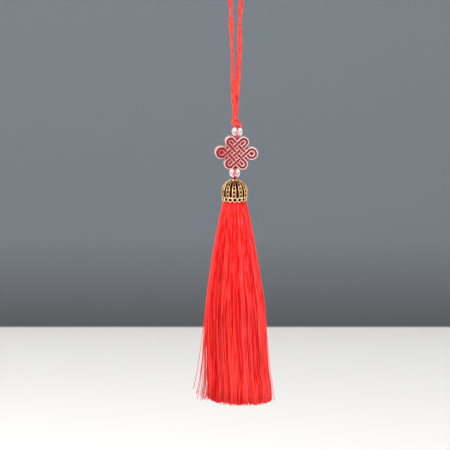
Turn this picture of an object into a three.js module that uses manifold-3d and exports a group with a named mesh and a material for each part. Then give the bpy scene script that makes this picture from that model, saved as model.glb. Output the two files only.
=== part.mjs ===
import * as THREE from 'three';
import { mergeGeometries, mergeVertices } from 'three/addons/utils/BufferGeometryUtils.js';
import Module from 'manifold-3d';

const wasm = await Module();
wasm.setup();

// Mystic knot hanging, in millimetres.
// The origin is the hang point, inside the top of the cord's loop. +Z is up, and the face with the
// ornament looks towards -Y. Heights are counted from the origin, so almost all are negative.

// Hanging cord: two plies laid together, a section with two lobes that turns along the route
const CORD_SECTION = { lobe: 1.0, shoulder: 0.78, waist: 0.52 };
const CORD_TWIST = 13;
const CORD_STEP = 1.02;
const CORD_ROUTE = [
  // x, y, z: from the top knot up the left strand, over the hang point, down the right strand
  [-0.30, -1.10, -70.40],
  [-0.35, -1.05, -67.00],
  [-0.70, -0.85, -63.00],
  [-1.00, -0.55, -58.80],
  [-1.12, -0.15, -52.00],
  [-1.20, 0.00, -45.00],
  [-1.50, 0.00, -38.20],
  [-1.78, 0.00, -31.40],
  [-1.90, 0.00, -24.60],
  [-2.28, 0.00, -17.70],
  [-3.30, 0.00, -10.50],
  [-4.15, 0.00, -4.60],
  [-3.00, 0.00, -0.25],
  [0.00, 0.00, 1.00],
  [3.00, 0.00, -0.25],
  [4.20, 0.00, -4.60],
  [3.45, 0.00, -10.50],
  [2.55, 0.00, -17.70],
  [2.11, 0.00, -24.60],
  [1.86, 0.00, -31.40],
  [1.90, 0.00, -38.20],
  [1.64, 0.00, -45.00],
  [1.38, 0.15, -52.00],
  [1.05, 0.55, -58.80],
  [0.85, 0.85, -63.00],
  [0.60, 1.05, -67.00],
  [0.45, 1.10, -70.40],
];

// Top knot: strands about the knot's own centre, each a swept cord, fused where they cross
const KNOT_CENTRE = [0.68, 0, -72.45];
const KNOT_SECTION = { lobe: 0.95, shoulder: 0.76, waist: 0.56 };
const KNOT_TWIST = 5.5;
const KNOT_STEP = 0.5;
const KNOT_STRANDS = [
  // x, y, z: the front band, then the strand that goes on through, then the bight on the left
  [
    [-0.98, -1.10, 1.75],
    [-1.42, -0.95, 0.85],
    [-0.75, -1.15, 0.15],
    [0.55, -1.10, -0.45],
    [1.50, -0.55, -0.72],
    [1.50, 0.55, -0.62],
    [0.50, 1.10, -0.20],
  ],
  [
    [-0.23, 1.10, 1.75],
    [0.25, 1.05, 0.85],
    [0.55, 0.55, -0.10],
    [0.20, 0.00, -1.00],
    [0.12, 0.00, -1.70],
  ],
  [
    [0.60, 1.05, 0.05],
    [-0.60, 1.05, -0.10],
    [-1.45, 0.45, -0.05],
    [-1.45, -0.35, 0.20],
    [-0.60, -0.30, -0.40],
  ],
];

// Clear beads: oblate, bored through. The lean turns the bead's axis to the right, in degrees.
const BEAD = { radius: 2.5, height: 4.4, bore: 1.1, lip: 0.25, rings: 7, segments: 28 };
const UPPER_BEAD = { x: 0.82, z: -76.67, lean: 0 };
const LOWER_BEAD = { x: -0.12, z: -95.55, lean: 3.5 };

// Plaque: three strands each way, closed by four corner loops and two round loops into one
// endless strand. Roll turns it to the right, yaw turns its face to the right, in degrees.
const PITCH = 2.95;
const PLAQUE = { x: 0.55, z: -86.27, roll: 3, yaw: 8, bore: 1.1, boreSides: 16 };
const STRAND = { width: 2.05, halfThickness: 2.15, bevel: 0.38, over: 0.15, under: -0.25 };
const WEB_HALF_THICKNESS = 1.5;
const GROOVE = { width: 0.7, depth: 0.42, reach: 1 };
// Lengths along a strand, in pitches from its middle
const TO_CORNER_LOOP = 1.9;
const TO_ROUND_LOOP = 1.64;
const GROOVE_STOP = 0.38;
// Loops: radius in pitches, steps of a corner loop's half turn and of a round loop's half,
// and how far past their meeting point the two halves of a round loop overlap, in degrees
const CORNER_LOOP = { radius: 0.5, steps: 6 };
const ROUND_LOOP = { radius: 0.64, steps: 5, overlap: 4 };

// Core cord: through the beads and the plaque, down to the small knot in the mouth of the cap
const CORE_SECTION = { lobe: 0.95, shoulder: 0.78, waist: 0.56 };
const CORE_TWIST = 5;
const CORE_STEP = 1.0;
const CORE_ROUTE = [
  // x, y, z
  [0.80, 0, -74.50],
  [0.82, 0, -76.67],
  [0.84, 0, -80.60],
  [0.55, 0, -86.27],
  [0.25, 0, -91.90],
  [0.00, 0, -93.40],
  [-0.12, 0, -95.55],
  [-0.24, 0, -97.60],
  [-0.30, 0, -98.70],
  [-0.30, 0, -100.20],
];
const SMALL_KNOT = { x: -0.3, z: -98.75, ring: 0.42, tube: 0.54, tubeSides: 6, steps: 10, tilt: 24 };

// Tassel cap: a bell with open slots over a ring of eyelets. Angles are counted from the front.
const CAP_X = -0.3;
const CAP_SEGMENTS = 36;
const CAP_OUTSIDE = [
  // radius, z
  [5.80, -107.40],
  [5.80, -106.45],
  [6.05, -104.60],
  [5.90, -102.75],
  [5.25, -101.15],
  [4.35, -100.00],
  [3.15, -99.20],
  [2.10, -98.85],
  [1.95, -98.40],
];
const CAP_INSIDE = [
  // radius, z
  [1.30, -98.40],
  [1.30, -99.60],
  [2.75, -100.00],
  [4.20, -101.10],
  [5.05, -102.75],
  [5.30, -104.60],
  [5.05, -106.45],
  [5.05, -107.40],
];
const SLOT = { count: 12, first: 12.6, width: 1.0, inner: 2.9, outer: 7, top: -98.9, bottom: -106.25 };
const EYELET = { count: 16, first: 1.5, z: -107.45 };
const EYELET_RIM = { radius: 1.12, inside: 4.98, outside: 5.95, sides: 10 };
const EYELET_HOLE = { radius: 0.53, inside: 4.0, outside: 7.0, sides: 6 };

// Tassel: a bound head inside the cap, and locks of thread that spread down from it
const HEAD_PROFILE = [
  // radius, z
  [0.00, -108.20],
  [4.72, -108.20],
  [4.80, -106.00],
  [4.85, -104.30],
  [4.60, -103.20],
  [4.10, -102.20],
  [3.35, -101.25],
  [2.25, -100.50],
  [0.00, -100.50],
];
const HEAD_SEGMENTS = 30;
const LOCK_RINGS = 7;
const LOCKS_PER_RING = 6;
const LOCK_SIDES = 3;
const LOCK_FILL = 0.36;
const LOCK_TIP_SIZE = 0.8;
const TIP_RAGGED = 0.9;
const TASSEL_SHAPE = [
  // z, half width across X, half depth along Y, middle in X
  { z: -108.0, across: 4.45, deep: 4.45, middle: -0.30 },
  { z: -128.0, across: 9.20, deep: 8.10, middle: -0.25 },
  { z: -154.0, across: 13.35, deep: 11.50, middle: 0.05 },
  { z: -199.6, across: 14.80, deep: 12.60, middle: 0.60 },
];
const STRAY_LOCKS = [
  // lock of the outer ring, how far its tip stands out, its tip's height
  { lock: 18, out: 1.3, tip: -198.6 },
  { lock: 20, out: 2.6, tip: -196.4 },
  { lock: 21, out: 4.6, tip: -193.4 },
  { lock: 23, out: 3.2, tip: -197.5 },
  { lock: 24, out: 1.6, tip: -199.0 },
  { lock: 0, out: 2.6, tip: -199.2 },
];

const DEGREE = Math.PI / 180;
const QUARTER_TURN = Math.PI / 2;

// Closed solid through a row of rings. The rings have the same number of points, in order
// anticlockwise as seen from the end of the row.
function loft(rings) {
  const sides = rings[0].length;
  const index = [];
  for (let ring = 0; ring < rings.length - 1; ring += 1) {
    for (let side = 0; side < sides; side += 1) {
      const a = ring * sides + side;
      const b = ring * sides + (side + 1) % sides;
      index.push(a, b, b + sides, a, b + sides, a + sides);
    }
  }
  const last = (rings.length - 1) * sides;
  for (let side = 1; side < sides - 1; side += 1) {
    index.push(0, side + 1, side);
    index.push(last, last + side, last + side + 1);
  }
  const geometry = new THREE.BufferGeometry();
  geometry.setFromPoints(rings.flat());
  geometry.setIndex(index);
  return geometry;
}

// Solid for joining and cutting, from any closed geometry
function solid(geometry) {
  const bare = geometry.clone();
  bare.deleteAttribute('normal');
  bare.deleteAttribute('uv');
  const merged = mergeVertices(bare, 1e-5);
  const corners = Array.from(merged.index.array);
  const kept = [];
  for (let at = 0; at < corners.length; at += 3) {
    const [a, b, c] = corners.slice(at, at + 3);
    if (a !== b && b !== c && c !== a) {
      kept.push(a, b, c);
    }
  }
  return new wasm.Manifold(new wasm.Mesh({
    numProp: 3,
    vertProperties: Float32Array.from(merged.getAttribute('position').array),
    triVerts: Uint32Array.from(kept),
  }));
}

function joined(bodies) {
  return bodies.reduce((whole, body) => whole.add(body));
}

// Geometry of a joined or cut solid
function geometryOf(body) {
  const mesh = body.getMesh();
  const geometry = new THREE.BufferGeometry();
  geometry.setAttribute('position', new THREE.BufferAttribute(mesh.vertProperties, 3));
  geometry.setIndex(new THREE.BufferAttribute(mesh.triVerts, 1));
  return geometry;
}

// A closed profile of radius and height, up the outside, turned about Z
function turned(profile, segments) {
  const geometry = new THREE.LatheGeometry(profile, segments);
  geometry.rotateX(QUARTER_TURN);
  return solid(geometry);
}

function profileOf(rows) {
  return rows.map(([radius, z]) => new THREE.Vector2(radius, z));
}

// Two-ply cord along a curve: the section's two lobes turn once in each length of twist
function twistedCord(route, section, twist, step) {
  const curve = new THREE.CatmullRomCurve3(route.map((row) => new THREE.Vector3(...row)));
  const length = curve.getLength();
  const steps = Math.round(length / step);
  const frames = curve.computeFrenetFrames(steps);
  const radii = [section.lobe, section.shoulder, section.waist, section.shoulder];
  const rings = [];
  for (let at = 0; at <= steps; at += 1) {
    const centre = curve.getPointAt(at / steps);
    const turn = 2 * Math.PI * length * at / steps / twist;
    const ring = [];
    for (let side = 0; side < 8; side += 1) {
      const angle = turn + side * Math.PI / 4;
      const radius = radii[side % 4];
      ring.push(centre.clone()
        .addScaledVector(frames.normals[at], radius * Math.cos(angle))
        .addScaledVector(frames.binormals[at], radius * Math.sin(angle)));
    }
    rings.push(ring);
  }
  return loft(rings);
}

function hangingCord() {
  return twistedCord(CORD_ROUTE, CORD_SECTION, CORD_TWIST, CORD_STEP);
}

function topKnot() {
  const strands = KNOT_STRANDS.map((route) => (
    solid(twistedCord(route, KNOT_SECTION, KNOT_TWIST, KNOT_STEP))));
  return geometryOf(joined(strands));
}

function bead() {
  const lipRadius = BEAD.bore + BEAD.lip;
  const edge = Math.acos(lipRadius / BEAD.radius);
  const profile = [];
  for (let at = 0; at <= BEAD.rings; at += 1) {
    const angle = -edge + 2 * edge * at / BEAD.rings;
    const height = BEAD.height / 2 * Math.sin(angle) / Math.sin(edge);
    profile.push(new THREE.Vector2(BEAD.radius * Math.cos(angle), height));
  }
  profile.push(new THREE.Vector2(BEAD.bore, BEAD.height / 2));
  profile.push(new THREE.Vector2(BEAD.bore, -BEAD.height / 2));
  profile.push(profile[0].clone());
  return geometryOf(turned(profile, BEAD.segments));
}

// The two sets of strands, drawn in the plaque's plane with x to the right and y up.
// A strand lies at an offset along its set's side, and runs along its set's way.
const FALLING = { mirror: 1 };
const RISING = { mirror: -1 };
for (const set of [FALLING, RISING]) {
  set.way = new THREE.Vector2(1, -set.mirror).normalize();
  set.side = new THREE.Vector2(1, set.mirror).normalize();
}

function onStrand(set, offset, along) {
  return new THREE.Vector2()
    .addScaledVector(set.side, offset * PITCH)
    .addScaledVector(set.way, along * PITCH);
}

// Stations of a straight stretch between lengths along a strand. A station is a place, the
// heading there, and how much thicker or thinner the strand is.
function run(set, offset, lengths, steps = lengths.map(() => 0)) {
  const sign = Math.sign(lengths[lengths.length - 1] - lengths[0]);
  const heading = set.way.clone().multiplyScalar(sign);
  return lengths.map((along, at) => ({
    place: onStrand(set, offset, along),
    heading,
    step: steps[at],
  }));
}

// Whole strand between its loops: thick where it crosses over, thin where it goes under
function wovenRun(set, offset, sign) {
  const lengths = [-1, -0.5, 0, 0.5, 1].map((length) => length * sign);
  const steps = lengths.map((along) => {
    if (!Number.isInteger(along)) {
      return 0;
    }
    const fallingIsOver = (offset + along) % 2 !== 0;
    return fallingIsOver === (set === FALLING) ? STRAND.over : STRAND.under;
  });
  return run(set, offset, lengths, steps);
}

function arc(centre, radius, from, to, segments) {
  const stations = [];
  const sign = Math.sign(to - from);
  for (let at = 0; at <= segments; at += 1) {
    const angle = (from + (to - from) * at / segments) * DEGREE;
    const out = new THREE.Vector2(Math.cos(angle), Math.sin(angle));
    const heading = new THREE.Vector2(-out.y, out.x).multiplyScalar(sign);
    stations.push({ place: centre.clone().addScaledVector(out, radius), heading, step: 0 });
  }
  return stations;
}

// Loop at the end of two neighbouring strands of one set, from the lower offset to the higher
function cornerLoop(set, offset) {
  const end = offset < 0 ? TO_CORNER_LOOP : -TO_CORNER_LOOP;
  const from = offset < 0 ? -135 : 225;
  const centre = onStrand(set, offset, end);
  const radius = CORNER_LOOP.radius * PITCH;
  return arc(centre, radius, set.mirror * from, set.mirror * 45, CORNER_LOOP.steps);
}

// Part of the round loop on the left (sign -1) or on the right (sign 1)
function roundLoop(sign, from, to, segments) {
  const centre = new THREE.Vector2(sign * Math.SQRT2 * (1 + ROUND_LOOP.radius) * PITCH, 0);
  return arc(centre, ROUND_LOOP.radius * PITCH, from, to, segments);
}

// Ring of a section, given as pairs of sideways and forward lengths, at a station
function ringAt(station, section) {
  const { place, heading } = station;
  return section.map(([sideways, forward]) => new THREE.Vector3(
    place.x - heading.y * sideways,
    -forward,
    place.y + heading.x * sideways,
  ));
}

// The three strands of one set as one winding solid, with half of each round loop
function strandSolid(set) {
  const turn = set.mirror;
  const stations = [
    ...roundLoop(-1, turn * (180 + ROUND_LOOP.overlap), turn * 45, ROUND_LOOP.steps),
    ...wovenRun(set, -1, 1),
    ...cornerLoop(set, -0.5),
    ...wovenRun(set, 0, -1),
    ...cornerLoop(set, 0.5),
    ...wovenRun(set, 1, 1),
    ...roundLoop(1, turn * -135, turn * ROUND_LOOP.overlap, ROUND_LOOP.steps),
  ];
  const half = STRAND.width / 2;
  const inner = half - STRAND.bevel;
  return solid(loft(stations.map((station) => {
    const face = STRAND.halfThickness + station.step;
    const edge = face - STRAND.bevel;
    return ringAt(station, [
      [half, -edge], [half, edge], [inner, face], [-inner, face],
      [-half, edge], [-half, -edge], [-inner, -face], [inner, -face],
    ]);
  })));
}

// Web that fills the loops and the cells between the strands, below their faces. Its outline
// joins the outer bends of the loops, and goes in between them to the strands that cross there.
function web() {
  const round = new THREE.Vector2(Math.SQRT2 * (1 + ROUND_LOOP.radius) * PITCH, 0);
  const left = onStrand(FALLING, 0.5, -TO_CORNER_LOOP);
  const corner = new THREE.Vector2(-left.x, left.y);
  const bend = ROUND_LOOP.radius * PITCH * Math.SQRT1_2;
  const reach = CORNER_LOOP.radius * PITCH;
  const quarter = [
    [round.x + bend, bend],
    [(round.x + corner.x) / 2, corner.y / 2],
    [corner.x + reach, corner.y],
    [corner.x, corner.y + reach],
    [0, Math.SQRT2 * PITCH],
  ];
  const half = [...quarter, ...quarter.slice(0, -1).reverse().map(([x, y]) => [-x, y])];
  const outline = [...half, ...half.map(([x, y]) => [-x, -y])];
  const shape = new THREE.Shape(outline.map(([x, y]) => new THREE.Vector2(x, y)));
  const depth = 2 * WEB_HALF_THICKNESS;
  const geometry = new THREE.ExtrudeGeometry(shape, { depth, bevelEnabled: false, curveSegments: 1 });
  geometry.rotateX(QUARTER_TURN);
  geometry.translate(0, WEB_HALF_THICKNESS, 0);
  return solid(geometry);
}

// The nine stretches of groove, each from one crossing where its strand goes under to the next
function grooveStretches() {
  const stop = GROOVE_STOP;
  const corner = TO_CORNER_LOOP;
  const round = TO_ROUND_LOOP;
  return [
    run(FALLING, -1, [stop - 1, 1 - stop]),
    run(FALLING, 1, [stop - 1, 1 - stop]),
    run(RISING, 0, [stop - 1, 1 - stop]),
    [
      ...run(FALLING, -1, [1 + stop, corner]).slice(0, 1),
      ...cornerLoop(FALLING, -0.5),
      ...run(FALLING, 0, [corner, stop]).slice(1),
    ],
    [
      ...run(FALLING, 0, [-stop, -corner]).slice(0, 1),
      ...cornerLoop(FALLING, 0.5),
      ...run(FALLING, 1, [-corner, -1 - stop]).slice(1),
    ],
    [
      ...run(RISING, -1, [stop, corner]).slice(0, 1),
      ...cornerLoop(RISING, -0.5),
      ...run(RISING, 0, [corner, 1 + stop]).slice(1),
    ],
    [
      ...run(RISING, 0, [-1 - stop, -corner]).slice(0, 1),
      ...cornerLoop(RISING, 0.5),
      ...run(RISING, 1, [-corner, -stop]).slice(1),
    ],
    [
      ...run(RISING, -1, [-stop, -round]).slice(0, 1),
      ...roundLoop(-1, -45, -315, 2 * ROUND_LOOP.steps),
      ...run(FALLING, -1, [-round, -1 - stop]).slice(1),
    ],
    [
      ...run(FALLING, 1, [1 + stop, round]).slice(0, 1),
      ...roundLoop(1, -135, 135, 2 * ROUND_LOOP.steps),
      ...run(RISING, 1, [round, stop]).slice(1),
    ],
  ];
}

// Cutter of one stretch of groove, in the front face (sign 1) or the back face (sign -1)
function grooveCutter(stations, sign) {
  const half = GROOVE.width / 2;
  const floor = sign * (STRAND.halfThickness - GROOVE.depth);
  const open = sign * (STRAND.halfThickness + GROOVE.reach);
  const low = Math.min(floor, open);
  const high = Math.max(floor, open);
  const section = [[half, low], [half, high], [-half, high], [-half, low]];
  return solid(loft(stations.map((station) => ringAt(station, section))));
}

function knotPlaque() {
  let body = joined([strandSolid(FALLING), strandSolid(RISING), web()]);
  for (const stations of grooveStretches()) {
    body = body.subtract(grooveCutter(stations, 1)).subtract(grooveCutter(stations, -1));
  }
  const bore = new THREE.CylinderGeometry(PLAQUE.bore, PLAQUE.bore, 6 * PITCH, PLAQUE.boreSides);
  bore.rotateX(QUARTER_TURN);
  return geometryOf(body.subtract(solid(bore)));
}

function coreCord() {
  const cord = solid(twistedCord(CORE_ROUTE, CORE_SECTION, CORE_TWIST, CORE_STEP));
  const wraps = [SMALL_KNOT.tilt, -SMALL_KNOT.tilt].map((tilt) => {
    const { ring, tube, tubeSides, steps } = SMALL_KNOT;
    const wrap = new THREE.TorusGeometry(ring, tube, tubeSides, steps);
    wrap.rotateX(tilt * DEGREE);
    wrap.translate(SMALL_KNOT.x, 0, SMALL_KNOT.z);
    return solid(wrap);
  });
  return geometryOf(joined([cord, ...wraps]));
}

// Turns a geometry that points along +X to an angle counted from the front
function turnFromFront(geometry, degrees) {
  geometry.rotateZ(degrees * DEGREE - QUARTER_TURN);
  return geometry;
}

function slotCutter(number) {
  const depth = SLOT.outer - SLOT.inner;
  const box = new THREE.BoxGeometry(depth, SLOT.width, SLOT.top - SLOT.bottom);
  box.translate((SLOT.outer + SLOT.inner) / 2, 0, (SLOT.top + SLOT.bottom) / 2);
  return solid(turnFromFront(box, SLOT.first + number * 360 / SLOT.count));
}

// Disc with its axis along a radius of the cap, as an eyelet's rim or its hole
function eyeletDisc({ radius, inside, outside, sides }, number) {
  const disc = new THREE.CylinderGeometry(radius, radius, outside - inside, sides);
  disc.rotateZ(QUARTER_TURN);
  disc.translate((outside + inside) / 2, 0, EYELET.z);
  return solid(turnFromFront(disc, EYELET.first + number * 360 / EYELET.count));
}

function tasselCap() {
  const profile = profileOf([...CAP_OUTSIDE, ...CAP_INSIDE, CAP_OUTSIDE[0]]);
  let body = turned(profile, CAP_SEGMENTS);
  for (let at = 0; at < SLOT.count; at += 1) {
    body = body.subtract(slotCutter(at));
  }
  for (let at = 0; at < EYELET.count; at += 1) {
    body = body.add(eyeletDisc(EYELET_RIM, at));
  }
  for (let at = 0; at < EYELET.count; at += 1) {
    body = body.subtract(eyeletDisc(EYELET_HOLE, at));
  }
  return geometryOf(body);
}

// Even spread of values from 0 to 1, the same on every run
function scatter(number) {
  const value = Math.sin(number * 12.9898) * 43758.5453;
  return value - Math.floor(value);
}

// One lock: a three-sided tapering strand that follows the tassel's shape at its place in it
function lockGeometry(ring, lock, number) {
  const count = Math.max(1, LOCKS_PER_RING * ring);
  const angle = 2 * Math.PI * (lock + 0.5 * (ring % 2)) / count;
  const reach = ring / (LOCK_RINGS + 0.5);
  const stray = STRAY_LOCKS.find((row) => ring === LOCK_RINGS && row.lock === lock);
  const last = TASSEL_SHAPE.length - 1;
  const rings = TASSEL_SHAPE.map((row, at) => {
    const tip = stray ? stray.tip : row.z - TIP_RAGGED * (scatter(number) - 0.5);
    const out = stray && at === last ? stray.out : 0;
    const centre = new THREE.Vector3(
      row.middle + (reach * row.across + out) * Math.cos(angle),
      (reach * row.deep + out) * Math.sin(angle),
      at === last ? tip : row.z,
    );
    const size = LOCK_FILL * row.deep / (LOCK_RINGS + 0.5) * (at === last ? LOCK_TIP_SIZE : 1);
    const points = [];
    for (let side = 0; side < LOCK_SIDES; side += 1) {
      const around = angle - 2 * Math.PI * side / LOCK_SIDES;
      points.push(centre.clone().add(
        new THREE.Vector3(size * Math.cos(around), size * Math.sin(around), 0)));
    }
    return points;
  });
  return loft(rings);
}

function tassel() {
  const locks = [];
  for (let ring = 0; ring <= LOCK_RINGS; ring += 1) {
    for (let lock = 0; lock < Math.max(1, LOCKS_PER_RING * ring); lock += 1) {
      locks.push(lockGeometry(ring, lock, locks.length + 1));
    }
  }
  const head = turned(profileOf(HEAD_PROFILE), HEAD_SEGMENTS);
  return geometryOf(head.translate([CAP_X, 0, 0]).add(solid(mergeGeometries(locks))));
}

// One sub-part with its own finish
function subPart(name, geometry, color, roughness, metalness = 0) {
  const material = new THREE.MeshStandardMaterial({ color, roughness, metalness });
  const mesh = new THREE.Mesh(geometry, material);
  mesh.name = name;
  return mesh;
}

const hanging = new THREE.Group();

hanging.add(subPart('hanging_cord', hangingCord(), 0xe8322c, 0.75));

const knot = subPart('top_knot', topKnot(), 0xe63a34, 0.75);
knot.position.set(...KNOT_CENTRE);
hanging.add(knot);

for (const [name, place] of [['upper_bead', UPPER_BEAD], ['lower_bead', LOWER_BEAD]]) {
  const clearBead = subPart(name, bead(), 0xf4eef0, 0.06);
  clearBead.position.set(place.x, 0, place.z);
  clearBead.rotation.y = place.lean * DEGREE;
  hanging.add(clearBead);
}

const plaque = subPart('knot_plaque', knotPlaque(), 0xd9868a, 0.12);
plaque.position.set(PLAQUE.x, 0, PLAQUE.z);
plaque.rotation.set(0, PLAQUE.roll * DEGREE, PLAQUE.yaw * DEGREE, 'ZYX');
hanging.add(plaque);

hanging.add(subPart('core_cord', coreCord(), 0xb81f22, 0.75));

const cap = subPart('tassel_cap', tasselCap(), 0xc99f5c, 0.38, 1);
cap.position.set(CAP_X, 0, 0);
hanging.add(cap);

hanging.add(subPart('tassel', tassel(), 0xf02a2a, 0.5));

export default hanging;
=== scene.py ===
import bpy
import numpy as np
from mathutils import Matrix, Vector


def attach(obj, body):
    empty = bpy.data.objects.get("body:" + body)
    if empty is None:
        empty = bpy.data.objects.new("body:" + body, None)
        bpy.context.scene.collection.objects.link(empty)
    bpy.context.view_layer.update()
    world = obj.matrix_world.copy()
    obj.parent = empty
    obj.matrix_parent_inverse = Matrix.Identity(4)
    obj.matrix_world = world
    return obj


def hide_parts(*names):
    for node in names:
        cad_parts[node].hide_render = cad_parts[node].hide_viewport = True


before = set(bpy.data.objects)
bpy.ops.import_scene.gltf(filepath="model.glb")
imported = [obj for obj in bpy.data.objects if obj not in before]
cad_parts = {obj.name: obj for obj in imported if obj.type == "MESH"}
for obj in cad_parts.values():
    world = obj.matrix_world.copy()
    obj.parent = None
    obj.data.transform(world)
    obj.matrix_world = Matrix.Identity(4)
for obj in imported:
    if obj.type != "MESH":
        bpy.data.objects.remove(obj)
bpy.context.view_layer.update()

# Camera and room: a long lens a little above the hanging, a pale floor well below it and a
# cool wall behind it, lit by soft boxes. The wall is darker towards its foot as painted shade,
# above a pale strip right at the foot.
VIEW_WIDTH = 0.2025
CAMERA_DISTANCE = 1.3
CAMERA_RISE = np.radians(10.5)
VIEW_CENTRE = Vector((-0.0046, 0.0, -0.1193))
FLOOR_Z = -0.7225
WALL_Y = 2.5
FLOOR_REACH = 6.0
WALL_REACH = 1.2
WALL_HEIGHT = 1.6
FLOOR_COLOUR = (0.96, 0.945, 0.92)
# painted shade: the wall darkens to this colour near its foot
WALL_PAINTED_SHADE = (0.071, 0.078, 0.084)
WALL_HIGH = (0.136, 0.153, 0.174)
WALL_FOOT = (0.42, 0.42, 0.41)
FOOT_SHARE = 0.020
WALL_FADE = 0.12
ROOM_ROUGHNESS = 0.9
AIR_STRENGTH = 0.70
SENSOR_WIDTH = 36.0

camera_data = bpy.data.cameras.new("camera")
camera_data.sensor_width = SENSOR_WIDTH
camera_data.lens = SENSOR_WIDTH * CAMERA_DISTANCE / VIEW_WIDTH
camera = bpy.data.objects.new("camera", camera_data)
camera_back = Vector((0.0, -np.cos(CAMERA_RISE), np.sin(CAMERA_RISE)))
camera.location = VIEW_CENTRE + CAMERA_DISTANCE * camera_back
camera.rotation_euler = (np.pi / 2 - CAMERA_RISE, 0.0, 0.0)
bpy.context.scene.collection.objects.link(camera)
bpy.context.scene.camera = camera
bpy.context.scene.view_settings.view_transform = "Standard"


def new_material(name, roughness, metallic=0.0, **sockets):
    """A material of one Principled shader. Returns the material, its nodes, links and shader."""
    material = bpy.data.materials.new(name)
    material.use_nodes = True
    nodes = material.node_tree.nodes
    shader = nodes["Principled BSDF"]
    shader.inputs["Roughness"].default_value = roughness
    shader.inputs["Metallic"].default_value = metallic
    for socket, value in sockets.items():
        shader.inputs[socket.replace("_", " ")].default_value = value
    return material, nodes, material.node_tree.links, shader


def room_sheet(name, corners):
    """A flat matt sheet of the room through four corners. Returns its nodes, links and shader."""
    mesh = bpy.data.meshes.new(name)
    mesh.from_pydata(corners, [], [(0, 1, 2, 3)])
    sheet = bpy.data.objects.new(name, mesh)
    bpy.context.scene.collection.objects.link(sheet)
    material, nodes, links, shader = new_material(name, ROOM_ROUGHNESS)
    mesh.materials.append(material)
    return nodes, links, shader


_, _, floor_shader = room_sheet("floor", [
    (-FLOOR_REACH, -FLOOR_REACH, FLOOR_Z), (FLOOR_REACH, -FLOOR_REACH, FLOOR_Z),
    (FLOOR_REACH, WALL_Y, FLOOR_Z), (-FLOOR_REACH, WALL_Y, FLOOR_Z),
])
floor_shader.inputs["Base Color"].default_value = (*FLOOR_COLOUR, 1.0)
wall_nodes, wall_links, wall_shader = room_sheet("wall", [
    (-WALL_REACH, WALL_Y, FLOOR_Z), (WALL_REACH, WALL_Y, FLOOR_Z),
    (WALL_REACH, WALL_Y, WALL_HEIGHT), (-WALL_REACH, WALL_Y, WALL_HEIGHT),
])
# Painted shade on the wall: a pale strip at the foot, then dark, lightening upwards over the fade.
wall_place = wall_nodes.new("ShaderNodeTexCoord")
wall_axes = wall_nodes.new("ShaderNodeSeparateXYZ")
wall_share = wall_nodes.new("ShaderNodeMapRange")
wall_share.inputs["From Min"].default_value = FLOOR_Z
wall_share.inputs["From Max"].default_value = FLOOR_Z + WALL_FADE
wall_ramp = wall_nodes.new("ShaderNodeValToRGB")
wall_stops = wall_ramp.color_ramp.elements
wall_stops.new(FOOT_SHARE)
for stop, place, colour in zip(wall_stops, (0, FOOT_SHARE, 1), (WALL_FOOT, WALL_PAINTED_SHADE, WALL_HIGH)):
    stop.position = place
    stop.color = (*colour, 1.0)
wall_links.new(wall_place.outputs["Object"], wall_axes.inputs["Vector"])
wall_links.new(wall_axes.outputs["Z"], wall_share.inputs["Value"])
wall_links.new(wall_share.outputs["Result"], wall_ramp.inputs["Fac"])
wall_links.new(wall_ramp.outputs["Color"], wall_shader.inputs["Base Color"])

for name, place, size, power, tint in [
    # name, place, width of the box, power, tint
    ("key_box", (-1.3, -1.6, 1.1), 1.2, 62.0, (1.0, 0.985, 0.97)),
    ("fill_box", (1.7, -1.3, 0.4), 1.4, 34.0, (0.97, 0.985, 1.0)),
    ("back_box", (-0.9, 1.6, 1.2), 1.0, 26.0, (1.0, 1.0, 1.0)),
]:
    light_data = bpy.data.lights.new(name, "AREA")
    light_data.size = size
    light_data.energy = power
    light_data.color = tint
    light = bpy.data.objects.new(name, light_data)
    light.location = place
    light.rotation_euler = (VIEW_CENTRE - Vector(place)).to_track_quat("-Z", "Y").to_euler()
    bpy.context.scene.collection.objects.link(light)

world = bpy.data.worlds.new("room_air")
world.use_nodes = True
world.node_tree.nodes["Background"].inputs["Color"].default_value = (1.0, 1.0, 1.0, 1.0)
world.node_tree.nodes["Background"].inputs["Strength"].default_value = AIR_STRENGTH
bpy.context.scene.world = world

# Hanging cord: red nylon cord of two plies laid together, tied double. It comes up from the top
# knot as the left strand, goes over the peg at the origin and comes down as the right strand.
CORD_ROUTE = np.array([
    # x, y, z
    (-0.00028, -0.001, -0.0704),
    (-0.00033, -0.00086, -0.067),
    (-0.0006, -0.0006, -0.063),
    (-0.00086, -0.0004, -0.0588),
    (-0.0011, -0.00015, -0.052),
    (-0.0012, 0, -0.045),
    (-0.0015, 0, -0.0382),
    (-0.00178, 0, -0.0314),
    (-0.0019, 0, -0.0246),
    (-0.00228, 0, -0.0177),
    (-0.0033, 0, -0.0105),
    (-0.00415, 0, -0.0046),
    (-0.003, 0, -0.00025),
    (0, 0, 0.001),
    (0.003, 0, -0.00025),
    (0.0042, 0, -0.0046),
    (0.00345, 0, -0.0105),
    (0.00255, 0, -0.0177),
    (0.00211, 0, -0.0246),
    (0.00186, 0, -0.0314),
    (0.0019, 0, -0.0382),
    (0.00164, 0, -0.045),
    (0.0013, 0.00015, -0.052),
    (0.00082, 0.0003, -0.0588),
    (0.0006, 0.00046, -0.063),
    (0.00044, 0.00062, -0.067),
    (0.00038, 0.0008, -0.0704),
])
CORD_PLY = 0.00062
CORD_LAY = 0.00042
CORD_TWIST = np.array([
    # length along the cord, turns of the plies: slow where the left strand is narrow and where
    # the right one is wide
    (0, 0.14),
    (0.015, 0.34),
    (0.0205, 0.45),
    (0.0365, 0.55),
    (0.0525, 1.2),
    (0.095, 4.1),
    (0.1085, 4.66),
    (0.134, 4.8),
    (0.148, 4.88),
])
CORD_STEP = 0.0003
CORD_SIDES = 40
CURVE_STEPS = 40
FIBRE_BUNDLES = 8
BUNDLE_PITCH = 0.0014
FIBRE_RELIEF = 0.06
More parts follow.
